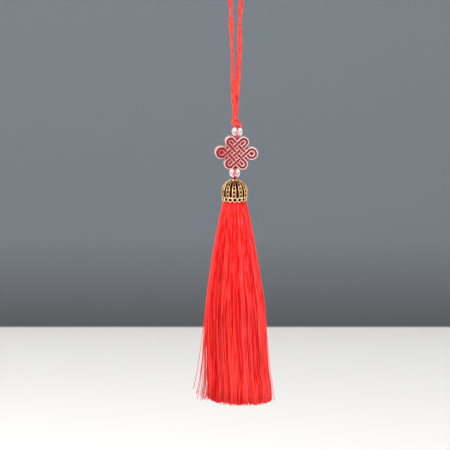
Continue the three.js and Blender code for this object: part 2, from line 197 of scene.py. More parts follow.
# painted shade: how much darker the cord is between its fibre bundles than on top of them
BUNDLE_SHADING = 0.15
FIBRE_SCALE = 1500.0
FIBRE_STRETCH = 0.45
FIBRE_DEPTH = 0.00008
FIBRE_STRENGTH = 0.8
DEEP_BELOW = 0.33
BRIGHT_ABOVE = 0.64
CORD_ROUGHNESS = 0.5
# the deep colour is painted shade between fibre bundles, mixed with uneven fibres
CORD_DEEP = (0.34, 0.003, 0.003)
CORD_BRIGHT = (0.76, 0.050, 0.034)
CORD_SHEEN = (1.0, 0.42, 0.36)


def lengths_along(path):
    """Length along a path at each of its points."""
    return np.concatenate([[0], np.cumsum(np.linalg.norm(np.diff(path, axis=0), axis=1))])


def smooth_path(route, spacing):
    """Points at even spacing on a smooth curve through the route. Between two points the curve
    is the cubic whose slopes follow the neighbours, with each stretch weighted by the square
    root of its length."""
    ends = np.vstack([2 * route[0] - route[1], route, 2 * route[-1] - route[-2]])
    weights = np.sqrt(np.linalg.norm(np.diff(ends, axis=0), axis=1))[:, None]
    a, b, c, d = ends[:-3], ends[1:-2], ends[2:-1], ends[3:]
    before, within, after = weights[:-2], weights[1:-1], weights[2:]
    leave = ((b - a) / before - (c - a) / (before + within) + (c - b) / within) * within
    reach = ((c - b) / within - (d - b) / (within + after) + (d - c) / after) * within
    t = np.linspace(0, 1, CURVE_STEPS, endpoint=False)[:, None, None]
    square = 3 * (c - b) - 2 * leave - reach
    cube = 2 * (b - c) + leave + reach
    curve = (b + leave * t + square * t**2 + cube * t**3).transpose(1, 0, 2).reshape(-1, 3)
    curve = np.vstack([curve, route[-1]])
    along = lengths_along(curve)
    even = np.linspace(0, along[-1], round(along[-1] / spacing) + 1)
    return np.stack([np.interp(even, along, curve[:, axis]) for axis in range(3)], axis=1)


def across_path(path, reference):
    """Side and up of each point: the side is the reference made square to the heading, and the
    up is square to both."""
    heading = np.gradient(path, axis=0)
    heading /= np.linalg.norm(heading, axis=1, keepdims=True)
    side = reference - (heading @ reference)[:, None] * heading
    side /= np.linalg.norm(side, axis=1, keepdims=True)
    return side, np.cross(heading, side)


def even_twist(pitch, start=0.0):
    """A twist of one turn in each pitch, as lengths along the cord and turns."""
    return np.array([(0, start), (1, start + 1 / pitch)])


def laid_cord(path, reference, ply, lay, twist):
    """Points of a two-ply cord, by ply, ring and side, and how high each is on a fibre bundle,
    from -1 to 1. Each ply's middle circles the path at the lay radius by the twist. Its section
    is a circle of the ply radius with a ridge for each fibre bundle, and the ridges turn the
    other way along it."""
    side, up = across_path(path, np.asarray(reference, float))
    along = lengths_along(path)
    phase = 2 * np.pi * (np.interp(along, *twist.T) + np.array([0.0, 0.5])[:, None])
    middle = path + lay * (np.cos(phase)[..., None] * side + np.sin(phase)[..., None] * up)
    around = np.linspace(0, 2 * np.pi, CORD_SIDES, endpoint=False)
    ridge = np.cos(FIBRE_BUNDLES * around + 2 * np.pi * along[:, None] / BUNDLE_PITCH)
    ridge = np.stack([ridge, -ridge])
    radius = (ply * (1 + FIBRE_RELIEF * ridge))[..., None]
    outward = np.cos(around)[:, None] * side[:, None] + np.sin(around)[:, None] * up[:, None]
    return middle[:, :, None] + radius * outward, ridge


def tube_faces(tubes, rings, sides, closed=False):
    """Faces of equal tubes whose points are numbered by tube, ring and side: quads between
    neighbouring rings, and an end face on each end unless the rings close on themselves."""
    number = np.arange(tubes * rings * sides).reshape(tubes, rings, sides)
    low = number if closed else number[:, :-1]
    high = np.roll(number, -1, axis=1) if closed else number[:, 1:]
    corners = [low, np.roll(low, -1, axis=2), np.roll(high, -1, axis=2), high]
    quads = np.stack(corners, axis=-1).reshape(-1, 4)
    if closed:
        return [quads]
    return [quads, number[:, 0, ::-1], number[:, -1]]


def new_piece(name, points, face_sets, material):
    """An object of the points and of arrays of faces, with its faces turned outwards. The
    four-sided faces are shaded smooth, and the end faces stay flat."""
    points = points.reshape(-1, 3)
    first = np.concatenate([faces[:, :3] for faces in face_sets])
    a, b, c = (points[first[:, corner]] for corner in range(3))
    if np.einsum("ij,ij->", a - points.mean(0), np.cross(b - a, c - a)) < 0:
        face_sets = [faces[:, ::-1] for faces in face_sets]
    mesh = bpy.data.meshes.new(name)
    mesh.vertices.add(len(points))
    mesh.vertices.foreach_set("co", points.ravel())
    corners = np.concatenate([faces.ravel() for faces in face_sets])
    sizes = np.concatenate([np.full(len(faces), faces.shape[1]) for faces in face_sets])
    mesh.loops.add(len(corners))
    mesh.loops.foreach_set("vertex_index", corners)
    mesh.polygons.add(len(sizes))
    mesh.polygons.foreach_set("loop_start", np.concatenate([[0], np.cumsum(sizes)[:-1]]))
    mesh.update(calc_edges=True)
    mesh.polygons.foreach_set("use_smooth", sizes == 4)
    mesh.validate()
    mesh.materials.append(material)
    piece = bpy.data.objects.new(name, mesh)
    bpy.context.scene.collection.objects.link(piece)
    return piece


def fasten(piece, slot, *nodes):
    """The piece rides with the hanging and stands for plain solids, which are hidden; slot is not
    used.
    """
    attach(piece, "root")
    if nodes:
        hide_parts(*nodes)


def mark(piece, name, values):
    """Gives each point of a piece a number that its material reads by name."""
    piece.data.attributes.new(name, "FLOAT", "POINT").data.foreach_set("value", values.ravel())


def noise_node(nodes, links, scale, stretch=(1.0, 1.0, 1.0), detail=3.0):
    """Noise on the object's coordinates, with the pattern stretched along its axes."""
    coordinates = nodes.new("ShaderNodeTexCoord")
    mapping = nodes.new("ShaderNodeMapping")
    mapping.inputs["Scale"].default_value = stretch
    noise = nodes.new("ShaderNodeTexNoise")
    noise.inputs["Scale"].default_value = scale
    noise.inputs["Detail"].default_value = detail
    links.new(coordinates.outputs["Object"], mapping.inputs["Vector"])
    links.new(mapping.outputs["Vector"], noise.inputs["Vector"])
    return noise


def colour_ramp(nodes, links, factor, stops):
    """Colours at stops from 0 to 1, looked up by the factor."""
    ramp = nodes.new("ShaderNodeValToRGB")
    while len(ramp.color_ramp.elements) < len(stops):
        ramp.color_ramp.elements.new(0.5)
    for element, (position, colour) in zip(ramp.color_ramp.elements, stops):
        element.position = position
        element.color = (*colour, 1.0)
    links.new(factor, ramp.inputs["Fac"])
    return ramp


def raised_by(nodes, links, shader, height, depth, strength):
    """Bump of a shader from a height output, in metres."""
    bump = nodes.new("ShaderNodeBump")
    bump.inputs["Distance"].default_value = depth
    bump.inputs["Strength"].default_value = strength
    links.new(height, bump.inputs["Height"])
    links.new(bump.outputs["Normal"], shader.inputs["Normal"])


def nylon_cord(name, deep, bright, sheen=0.25, gloss=0.3):
    """Soft nylon: lighter on top of each fibre bundle and darker between two as painted shade,
    with uneven fibres in the colour and in the relief, and a little sheen."""
    material, nodes, links, shader = new_material(
        name, CORD_ROUGHNESS, Sheen_Weight=sheen, Sheen_Tint=(*CORD_SHEEN, 1.0),
        Specular_IOR_Level=gloss)
    fibres = noise_node(nodes, links, FIBRE_SCALE, stretch=(1.0, 1.0, FIBRE_STRETCH))
    bundle = nodes.new("ShaderNodeAttribute")
    bundle.attribute_name = "bundle"
    height = nodes.new("ShaderNodeMath")
    height.operation = "MULTIPLY_ADD"
    height.inputs[1].default_value = BUNDLE_SHADING
    links.new(bundle.outputs["Fac"], height.inputs[0])
    links.new(fibres.outputs["Fac"], height.inputs[2])
    colours = colour_ramp(nodes, links, height.outputs["Value"],
                          [(DEEP_BELOW, deep), (BRIGHT_ABOVE, bright)])
    links.new(colours.outputs["Color"], shader.inputs["Base Color"])
    raised_by(nodes, links, shader, height.outputs["Value"], FIBRE_DEPTH, FIBRE_STRENGTH)
    return material


def laid_piece(name, path, reference, ply, lay, twist, material):
    """A piece of laid cord along a path, with its fibre bundles marked for the material."""
    points, ridge = laid_cord(path, reference, ply, lay, twist)
    piece = new_piece(name, points, tube_faces(*points.shape[:3]), material)
    mark(piece, "bundle", ridge)
    return piece


cord_red = nylon_cord("cord_red", CORD_DEEP, CORD_BRIGHT)
cord_path = smooth_path(CORD_ROUTE, CORD_STEP)
cord = laid_piece("laid_cord", cord_path, (0, 1, 0), CORD_PLY, CORD_LAY, CORD_TWIST, cord_red)
fasten(cord, "red_cord", "hanging_cord")

# Top knot: the doubled cord tied in an overhand knot, drawn down onto the upper bead. A band
# crosses the front from upper left to lower right, and a bight closes it on the left.
KNOT_CENTRE = np.array([0.00062, 0.0, -0.07305])
KNOT_PLY = 0.00062
KNOT_LAY = 0.00044
KNOT_PITCH = 0.0110
KNOT_ACROSS = (0.3, 0.2, 0.93)
# turns at which each strand's plies start: the first two carry on those of the hanging cord
KNOT_STARTS = (0.29, 0.14, 0.0)
KNOT_STRANDS = [
    # x, y, z from the knot's centre: the band, the strand that goes down to the bead, the bight
    np.array([
        (-0.0009, -0.001, 0.003),
        (-0.00132, -0.00095, 0.00085),
        (-0.00075, -0.00115, 0.00015),
        (0.00055, -0.0011, -0.00045),
        (0.0015, -0.00055, -0.00072),
        (0.0015, 0.00055, -0.00062),
        (0.0005, 0.0011, -0.0002),
    ]),
    np.array([
        (-0.00024, 0.0008, 0.003),
        (-0.0001, 0.0006, 0.0011),
        (0.00045, 0.0004, -0.0001),
        (0.0002, 0, -0.001),
        (0.00012, 0, -0.0017),
    ]),
    np.array([
        (0.0006, 0.00105, 0.00005),
        (-0.0006, 0.00105, -0.0001),
        (-0.00145, 0.00045, -0.00005),
        (-0.00145, -0.00035, 0.0002),
        (-0.0006, -0.0003, -0.0004),
    ]),
]
for number, (strand, start) in enumerate(zip(KNOT_STRANDS, KNOT_STARTS), start=1):
    strand_path = smooth_path(KNOT_CENTRE + strand, CORD_STEP / 2)
    piece = laid_piece(f"knot_strand_{number}", strand_path, KNOT_ACROSS, KNOT_PLY, KNOT_LAY,
                       even_twist(KNOT_PITCH, start), cord_red)
    fasten(piece, "red_cord", "top_knot")

# Clear beads: polished acrylic, oblate, with a rounded lip at each end of the bore. The lower
# one leans a little with the cord.
BEAD_RADIUS = 0.00246
BEAD_HALF_HEIGHT = 0.00200
BEAD_BORE = 0.0011
BEAD_LIP = 0.0002
BEAD_SEGMENTS = 72
BEAD_OUTLINE = 40
BORE_RINGS = 12
BEAD_TINT = (1.0, 0.86, 0.86)
BEAD_ROUGHNESS = 0.15
BEAD_CLARITY = 0.93
WAVE_SCALE = 420.0
WAVE_DEPTH = 0.00006
WAVE_STRENGTH = 0.03


def clear_acrylic(name, tint):
    """Polished clear acrylic, with very faint waves in its surface."""
    material, nodes, links, shader = new_material(
        name, BEAD_ROUGHNESS, Base_Color=(*tint, 1.0), Transmission_Weight=BEAD_CLARITY, IOR=1.49,
        Coat_Weight=0.3, Coat_Roughness=0.02)
    waves = noise_node(nodes, links, WAVE_SCALE, detail=1.0)
    raised_by(nodes, links, shader, waves.outputs["Fac"], WAVE_DEPTH, WAVE_STRENGTH)
    return material


def turned_ring(profile, segments):
    """Points of a closed profile of radius and height, carried round the upright axis."""
    angle = np.linspace(0, 2 * np.pi, segments, endpoint=False)[:, None]
    radius, height = profile[:, 0], profile[:, 1]
    x, y = radius * np.cos(angle), radius * np.sin(angle)
    return np.stack([x, y, np.broadcast_to(height, x.shape)], axis=-1)


def bead_profile():
    """Closed outline of a bead: an ellipse from lip to lip, a small round lip, and the bore."""
    lip = np.arccos((BEAD_BORE + BEAD_LIP) / BEAD_RADIUS)
    outside = np.linspace(-lip, lip, BEAD_OUTLINE)
    height = BEAD_HALF_HEIGHT * np.sin(outside) / np.sin(lip)
    outline = np.stack([BEAD_RADIUS * np.cos(outside), height], axis=1)
    bore_height = np.linspace(1, -1, BORE_RINGS) * (BEAD_HALF_HEIGHT - BEAD_LIP / 2)
    bore = np.stack([np.full(BORE_RINGS, BEAD_BORE), bore_height], axis=1)
    return np.vstack([outline, bore])


bead_acrylic = clear_acrylic("bead_acrylic", BEAD_TINT)
bead_ring = turned_ring(bead_profile(), BEAD_SEGMENTS)
for name, node, x, z, lean in [
    # name, the solid it stands for, x, z, lean to the right in degrees
    ("clear_bead_upper", "upper_bead", 0.00080, -0.07682, 0.0),
    ("clear_bead_lower", "lower_bead", -0.00028, -0.09538, 3.5),
]:
    cosine, sine = np.cos(np.radians(lean)), np.sin(np.radians(lean))
    leaning = bead_ring @ np.array([(cosine, 0, -sine), (0, 1, 0), (sine, 0, cosine)])
    bead = new_piece(name, leaning + (x, 0, z), tube_faces(1, *bead_ring.shape[:2], closed=True),
                     bead_acrylic)
    fasten(bead, "clear_bead", node)

# Core cord: thinner red cord strung through the beads and the plaque, ending in a small knot
# that sits in the mouth of the cap. The knot is the same cord, coloured far darker as painted
# shade.
CORE_ROUTE = np.array([
    # x, y, z
    (0.0008, 0, -0.0742),
    (0.00082, 0, -0.07667),
    (0.00084, 0, -0.0806),
    (0.00055, 0, -0.08627),
    (0.00025, 0, -0.0919),
    (0, 0, -0.0934),
    (-0.00012, 0, -0.09555),
    (-0.00024, 0, -0.0976),
    (-0.0003, 0, -0.0987),
    (-0.0003, 0, -0.1002),
])
CORE_PLY = 0.00054
CORE_LAY = 0.00046
CORE_PITCH = 0.0050
SMALL_KNOT = np.array([-0.00045, 0.0, -0.09792])
SMALL_KNOT_RING = 0.00050
SMALL_KNOT_TUBE = 0.00046
SMALL_KNOT_TILT = np.radians(18)
SMALL_KNOT_RELIEF = 0.06
SMALL_KNOT_HEIGHT = 0.85
CORE_DEEP = (0.48, 0.009, 0.011)
CORE_BRIGHT = (0.60, 0.022, 0.024)
# painted shade: the small knot is coloured far darker than the same cord above it
SMALL_KNOT_SHADED_DEEP = (0.12, 0.003, 0.003)
SMALL_KNOT_SHADED_BRIGHT = (0.30, 0.009, 0.008)


def tilted_wrap(tilt, steps=48, sides=20):
    """One wrap of the small knot: a slightly flat ring about the cord, tilted to one side, with
    three ridges that wind four times round its tube."""
    around = np.linspace(0, 2 * np.pi, steps, endpoint=False)[:, None]
    section = np.linspace(0, 2 * np.pi, sides, endpoint=False)
    tube = SMALL_KNOT_TUBE * (1 + SMALL_KNOT_RELIEF * np.cos(3 * section + 4 * around))
    reach = SMALL_KNOT_RING + tube * np.cos(section)
    x, y, z = reach * np.cos(around), reach * np.sin(around), tube * np.sin(section)
    return SMALL_KNOT + np.stack([x, y, SMALL_KNOT_HEIGHT * z + np.tan(tilt) * x], axis=-1)


core_red = nylon_cord("core_red", CORE_DEEP, CORE_BRIGHT)
core = laid_piece("strung_cord", smooth_path(CORE_ROUTE, CORD_STEP), (0, 1, 0), CORE_PLY, CORE_LAY,
                  even_twist(CORE_PITCH), core_red)
fasten(core, "red_cord", "core_cord")
wraps = np.stack([tilted_wrap(SMALL_KNOT_TILT), tilted_wrap(-SMALL_KNOT_TILT)])
knot_red = nylon_cord("small_knot_shaded_red", SMALL_KNOT_SHADED_DEEP, SMALL_KNOT_SHADED_BRIGHT)
small_knot = new_piece("small_knot", wraps, tube_faces(*wraps.shape[:3], closed=True), knot_red)
fasten(small_knot, "red_cord", "core_cord")

# Knot plaque: clear acrylic moulded as one endless strand, three passes each way, over a web
# that closes the cells. Dark red paint is wiped into the grooves and onto the web.
PITCH = 0.00295
PLAQUE_PLACE = np.array([0.00038, 0.0, -0.08627])
PLAQUE_ROLL = np.radians(3)
PLAQUE_YAW = np.radians(8)
STRAND_HALF = 0.00101
STRAND_FACE = 0.00215
OVER_RISE = 0.00018
UNDER_DROP = 0.00050
GROOVE_HALF = 0.00040
GROOVE_DEPTH = 0.00045
GROOVE_STOP = 0.38
OVER_SHARPNESS = 3
STOP_SHARPNESS = 12
WEB_FACE = 0.00150
WEB_PAINT = 0.74
WEB_PAINT_RISE = 0.00030
WEB_EDGE = 0.0001
GROOVE_PAINT = 0.00048
PAINT_EDGE = 0.00008
PAINT_INSIDE = 0.0013
RIM_TEST = 0.0022
RIM_START = 0.62
RIM_FADE = 0.30
RIM_EDGE = 1.05
RIM_BLEND = 0.4
# how nearly the outer rim is kept free of film
RIM_BARE = 0.9
# painted shade: a faint film laid over the plaque's upper left
UPPER_LEFT_SHADE = 0.24
UPPER_LEFT_SHADE_MIDDLE = 0.35
UPPER_LEFT_SHADE_WIDTH = 0.022
FILM = 0.30
# painted shade: extra film towards the left
FILM_LEFT_SHADE = 0.16
LEFT_MIDDLE = 0.45
LEFT_WIDTH = 0.015
TO_CORNER_LOOP = 1.9
TO_ROUND_LOOP = 1.64
CORNER_LOOP = 0.5
ROUND_LOOP = 0.64
PLAQUE_BORE = 0.0011
PLAQUE_STEP = 0.00015
PLAQUE_VOXEL = 0.000107
PLAQUE_TINT = (1.0, 0.90, 0.88)
PAINT_FILM = (0.44, 0.070, 0.074)
PAINT_COLOUR = (0.15, 0.008, 0.012)
PLAQUE_ROUGHNESS = 0.14
PLAQUE_CLARITY = 0.5
NO_CLARITY_ABOVE = 0.6
WAYS = {"falling": np.array([1.0, -1.0]) / np.sqrt(2), "rising": np.array([1.0, 1.0]) / np.sqrt(2)}
SIDES = {"falling": WAYS["rising"], "rising": WAYS["falling"]}


def on_strand(way, offset, along):
    """Place of a strand of one way, at its offset from the middle and a length along it."""
    return PITCH * (offset * SIDES[way] + np.multiply.outer(along, WAYS[way]))


def straight(way, offset, start, end):
    """Points of a straight pass, the last one left to the loop that follows."""
    count = round(abs(end - start) * PITCH / PLAQUE_STEP)
    return on_strand(way, offset, np.linspace(start, end, count, endpoint=False))


def loop(centre, radius, start, end):
    """Points of a loop about a centre, between two angles in degrees, without the last one."""
    count = round(abs(np.radians(end - start)) * radius * PITCH / PLAQUE_STEP)
    angle = np.radians(np.linspace(start, end, count, endpoint=False))
    return centre + radius * PITCH * np.stack([np.cos(angle), np.sin(angle)], axis=1)


def endless_strand():
    """The one strand of the knot, in the plaque's plane, x to the right and z up."""
    corner, far = TO_CORNER_LOOP, TO_ROUND_LOOP
    round_centre = np.array([np.sqrt(2) * (1 + ROUND_LOOP) * PITCH, 0])
    return np.vstack([
        straight("falling", -1, -far, corner),
        loop(on_strand("falling", -0.5, corner), CORNER_LOOP, -135, 45),
        straight("falling", 0, corner, -corner),
        loop(on_strand("falling", 0.5, -corner), CORNER_LOOP, 225, 45),
        straight("falling", 1, -corner, far),
        loop(round_centre, ROUND_LOOP, -135, 135),
        straight("rising", 1, far, -corner),
        loop(on_strand("rising", 0.5, -corner), CORNER_LOOP, -45, -225),
        straight("rising", 0, -corner, corner),
        loop(on_strand("rising", -0.5, corner), CORNER_LOOP, -45, 135),
        straight("rising", -1, corner, -far),
        loop(-round_centre, ROUND_LOOP, -45, -315),
    ])


def crossing_sense(strand, heading, sharpness):
    """How far each point is in a crossing, from 1 where its strand goes over to -1 where it
    goes under. Over and under alternate like the squares of a chessboard."""
    offset, along = np.meshgrid([-1, 0, 1], [-1, 0, 1])
    places = offset[..., None] * SIDES["falling"] + along[..., None] * WAYS["falling"]
    falling_is_over = np.where((offset + along) % 2 != 0, 1.0, -1.0).ravel()
    reach = np.linalg.norm(strand[:, None] - PITCH * places.reshape(-1, 2), axis=2)
    near = np.exp(-(reach / (GROOVE_STOP * PITCH)) ** sharpness)
    is_falling = 2 * (heading @ WAYS["falling"]) ** 2 - 1
    return is_falling * (near * falling_is_over).sum(axis=1)


def groove_opening(strand, heading):
    """How open the groove is at each point, from 1 to 0 where another strand goes over."""
    return 1 + np.clip(crossing_sense(strand, heading, STOP_SHARPNESS), -1, 0)


def strand_surface(strand, heading):
    """Points of the strand by ring and side. The section has upright sides, rounded shoulders
    and a groove down the middle of both faces, and is thicker over a crossing than under."""
    sense = crossing_sense(strand, heading, OVER_SHARPNESS)
    face = STRAND_FACE + OVER_RISE * np.maximum(sense, 0) + UNDER_DROP * np.minimum(sense, 0)
    open_groove = groove_opening(strand, heading)
    across = np.linspace(-1, 1, 37)
    shoulder = (1 - np.abs(across) ** 7) ** (1 / 7)
    groove = np.exp(-np.abs(across * STRAND_HALF / GROOVE_HALF) ** 5)
    height = face[:, None] * shoulder - GROOVE_DEPTH * groove * open_groove[:, None]
    sideways = np.concatenate([across, across[-2:0:-1]]) * STRAND_HALF
    forward = np.concatenate([height, -height[:, -2:0:-1]], axis=1)
    left = np.stack([-heading[:, 1], heading[:, 0]], axis=1)
    place = strand[:, None] + sideways[:, None] * left[:, None]
    return np.stack([place[..., 0], -forward, place[..., 1]], axis=-1)


def web_slab():
    """Points and faces of the web: a flat slab whose outline joins the outer bends of the
    loops, and goes in between them to the strands that cross there."""
    bend = np.radians(45)
    reach_x = (np.sqrt(2) * (1 + ROUND_LOOP) + ROUND_LOOP * np.cos(bend)) * PITCH
    reach_y = ROUND_LOOP * np.sin(bend) * PITCH
    corner = np.abs(on_strand("falling", 0.5, -TO_CORNER_LOOP))
    outer = corner + (CORNER_LOOP * PITCH, 0)
    upper = corner + (0, CORNER_LOOP * PITCH)
    between = (corner + (np.sqrt(2) * (1 + ROUND_LOOP) * PITCH, 0)) / 2
    quarter = np.array([(reach_x, reach_y), between, outer, upper])
    right = np.vstack([quarter, (0, np.sqrt(2) * PITCH)])
    left = quarter[::-1] * (-1, 1)
    outline = np.vstack([right, left, -right, -left])
    back = np.stack([outline[:, 0], np.full(len(outline), WEB_FACE), outline[:, 1]], axis=1)
    return np.stack([back, back * (1, -1, 1)]), tube_faces(1, 2, len(outline))


def with_modifiers(piece, *steps):
    """The piece's mesh replaced by the result of modifiers, each given as type and settings."""
    for kind, settings in steps:
        modifier = piece.modifiers.new(kind.lower(), kind)
        for setting, value in settings.items():
            setattr(modifier, setting, value)
    ready = piece.evaluated_get(bpy.context.evaluated_depsgraph_get())
    mesh = bpy.data.meshes.new_from_object(ready)
    piece.modifiers.clear()
    piece.data = mesh
    return mesh


def points_of(mesh, what="co"):
    """A mesh's points, or their normals, as an array."""
    values = np.empty(3 * len(mesh.vertices))
    source = mesh.vertices if what == "co" else mesh.vertex_normals
    source.foreach_get(what, values)
    return values.reshape(-1, 3)


def nearest_on(line, flat):
    """Distance from each place in the plaque's plane to the nearest point of a line, and which
    point that is."""
    which = np.concatenate([
        np.linalg.norm(part[:, None] - line, axis=2).argmin(axis=1)
        for part in np.array_split(flat, len(flat) // 2000 + 1)
    ])
    return np.linalg.norm(flat - line[which], axis=1), which


def painted(points, normals, strand, open_groove):
    """Paint on each point, 0 to 1: full in the open grooves, thinner on the web, and a film on
    the strand's faces, thicker towards the left as painted shade. The outer rim, past which there
    is no more plaque, keeps nearly no film, and a faint painted shade lies over the upper left.
    A slope takes the film only as far as it faces front or back."""
    flat = points[:, ::2]
    to_groove, _ = nearest_on(strand[open_groove > 0.5], flat)
    to_strand, which = nearest_on(strand, flat)
    outward = (flat - strand[which]) / np.maximum(to_strand, 1e-6)[:, None]
    past, _ = nearest_on(strand[::3], strand[which] + (STRAND_HALF + RIM_TEST) * outward)
    rim = np.clip((to_strand / STRAND_HALF - RIM_START) / RIM_FADE, 0, 1)
    rim *= np.clip((past / STRAND_HALF - RIM_EDGE) / RIM_BLEND, 0, 1)
    depth = np.abs(points[:, 1])
    in_groove = np.clip((GROOVE_PAINT - to_groove) / PAINT_EDGE, 0, 1)
    on_web = np.clip((WEB_FACE + WEB_PAINT_RISE - depth) / WEB_EDGE, 0, 1)
    facing = np.abs(normals[:, 1])
    faces_out = np.clip((facing - 0.45) / 0.3, 0, 1)
    left = np.clip(LEFT_MIDDLE - points[:, 0] / LEFT_WIDTH, 0, 1)
    film = np.clip((facing - 0.7 + 0.5 * left) / 0.2, 0, 1) * (FILM + FILM_LEFT_SHADE * left)
    web = WEB_PAINT * on_web * np.maximum(faces_out, 1 - rim)
    faces = np.maximum(film * (1 - RIM_BARE * rim), np.maximum(in_groove, web))
    faces *= depth > PAINT_INSIDE
    upper_left_shade = UPPER_LEFT_SHADE * np.clip(UPPER_LEFT_SHADE_MIDDLE + (points[:, 2] - points[:, 0]) / UPPER_LEFT_SHADE_WIDTH, 0, 1)
    return np.maximum(faces, upper_left_shade)


def painted_acrylic(name, tint, film, paint):
    """Clear acrylic where there is no paint, a pink film where the paint is thin, which also
    carries painted shade on the left and upper left, and opaque dark paint where it stays."""
    material, nodes, links, shader = new_material(
        name, PLAQUE_ROUGHNESS, IOR=1.49, Specular_IOR_Level=0.2, Coat_Weight=0.12,
        Coat_Roughness=0.05)
    mask = nodes.new("ShaderNodeAttribute")
    mask.attribute_name = "paint"
    colours = colour_ramp(nodes, links, mask.outputs["Fac"],
                          [(0.0, tint), (0.45, film), (0.8, paint)])
    clear = nodes.new("ShaderNodeMapRange")
    clear.inputs["From Max"].default_value = NO_CLARITY_ABOVE
    clear.inputs["To Min"].default_value = PLAQUE_CLARITY
    clear.inputs["To Max"].default_value = 0.0
    links.new(mask.outputs["Fac"], clear.inputs["Value"])
    links.new(colours.outputs["Color"], shader.inputs["Base Color"])
    links.new(clear.outputs["Result"], shader.inputs["Transmission Weight"])
    return material


strand = endless_strand()
strand_heading = np.roll(strand, -1, axis=0) - np.roll(strand, 1, axis=0)
strand_heading /= np.linalg.norm(strand_heading, axis=1, keepdims=True)
relief = strand_surface(strand, strand_heading)[None]
web_points, web_faces = web_slab()
relief_count = relief[0].size // 3
plaque_material = painted_acrylic("painted_acrylic", PLAQUE_TINT, PAINT_FILM, PAINT_COLOUR)
plaque_faces = tube_faces(*relief.shape[:3], closed=True)
plaque_faces += [faces + relief_count for faces in web_faces]
plaque_points = np.vstack([relief.reshape(-1, 3), web_points.reshape(-1, 3)])
plaque = new_piece("moulded_plaque", plaque_points, plaque_faces, plaque_material)

bore_rings = turned_ring(np.array([(0, 0), (PLAQUE_BORE, 0)]), 40)[:, 1]
bore_points = np.stack([bore_rings - (0, 0, 3 * PITCH), bore_rings + (0, 0, 3 * PITCH)])
bore = new_piece("bore", bore_points, tube_faces(1, 2, 40), plaque_material)
with_modifiers(
    plaque,
    ("REMESH", {"mode": "VOXEL", "voxel_size": PLAQUE_VOXEL}),
    ("SMOOTH", {"factor": 0.5, "iterations": 3}),
)
with_modifiers(plaque, ("BOOLEAN", {"operation": "DIFFERENCE", "object": bore, "solver": "MANIFOLD"}))
bpy.data.objects.remove(bore)
plaque.data.shade_smooth()
open_groove = groove_opening(strand, strand_heading)
plaque_local = points_of(plaque.data)
mark(plaque, "paint", painted(plaque_local, points_of(plaque.data, "vector"), strand, open_groove))
roll = np.array([
    (np.cos(PLAQUE_ROLL), 0, -np.sin(PLAQUE_ROLL)), (0, 1, 0),
    (np.sin(PLAQUE_ROLL), 0, np.cos(PLAQUE_ROLL)),
])
yaw = np.array([
    (np.cos(PLAQUE_YAW), np.sin(PLAQUE_YAW), 0), (-np.sin(PLAQUE_YAW), np.cos(PLAQUE_YAW), 0),
    (0, 0, 1),
])
plaque_placed = plaque_local @ roll @ yaw + PLAQUE_PLACE
plaque.data.vertices.foreach_set("co", plaque_placed.ravel())
plaque.data.update()
fasten(plaque, "clear_plaque", "knot_plaque")

# Bell cap: cast brass in an antique gold finish. Twelve ribs, each a beaded channel between two
# wires, stand between open slots from the neck ring to a band with sixteen eyelets, which are
# closed behind by a ring in the darkest gold as painted shade. The ribs' inner faces are dark as
# painted shade too.
CAP_X = -0.0003
CAP_PROFILE = np.array([
    # radius, nothing, z: up the outside of the ribs
    (0.00568, 0, -0.10615),
    (0.00578, 0, -0.1055),
    (0.00587, 0, -0.1045),
    (0.00566, 0, -0.1028),
    (0.005, 0, -0.10125),
    (0.00412, 0, -0.10012),
    (0.00305, 0, -0.09935),
    (0.00208, 0, -0.0989),
])
RIB_COUNT = 12
RIB_FIRST = np.radians(-2.4)
RIB_THICKNESS = 0.00062
RIB_STEP = 0.00016
SLOT_WIDTH_LOW = 0.00130
SLOT_WIDTH_HIGH = 0.00076
WIRE_RISE = 0.00022
WIRE_PLACE = 0.80
WIRE_HALF = 0.15
LANE_HALF = 0.34
BEAD_ROW_PITCH = 0.00180
BEAD_ROW_RISE = 0.00013
EYELET_COUNT = 16
EYELET_FIRST = np.radians(1.5)
EYELET_Z = -0.10700
EYELET_CENTRE = 0.00545
EYELET_RING = 0.00093
EYELET_WIRE = 0.00020
TONE_CHANNEL = 0.06
TONE_WIRE = 0.94
TONE_LANE = 0.24
TONE_BEADS = 0.42
TONE_FADE = 0.25
# painted shade on the ribs' inner faces and the walls of the slots
TONE_INSIDE_SHADE = 0.1
# painted shade: the ring behind the eyelets takes the darkest gold
TONE_EYELET_SHADE = 0.0
# painted highlight: the neck ring's top face is lighter than the rest of the ring
TONE_NECK_HIGHLIGHT = 0.68
TONE_UNDER_NECK = 0.25
TONE_BAND = 0.62
TONE_EYELETS = 0.70
NECK_EDGE = -0.0985
GRAIN_SCALE = 1500.0
GRAIN_SHARE = 0.35
GRAIN_MEAN = 0.17
GRAIN_DEPTH = 0.00006
GRAIN_STRENGTH = 0.5
GOLD_DARK = (0.042, 0.012, 0.002)
GOLD_MIDDLE = (0.28, 0.137, 0.044)
GOLD_BRIGHT = (0.90, 0.63, 0.36)
ROUGH_IN_RECESSES = 0.6
ROUGH_ON_WIRES = 0.26


def from_front(angle):
    """Unit vectors that point out and sideways at an angle from the front, to the right."""
    out = np.stack([np.sin(angle), -np.cos(angle), np.zeros_like(angle)], axis=-1)
    sideways = np.stack([np.cos(angle), np.sin(angle), np.zeros_like(angle)], axis=-1)
    return out, sideways


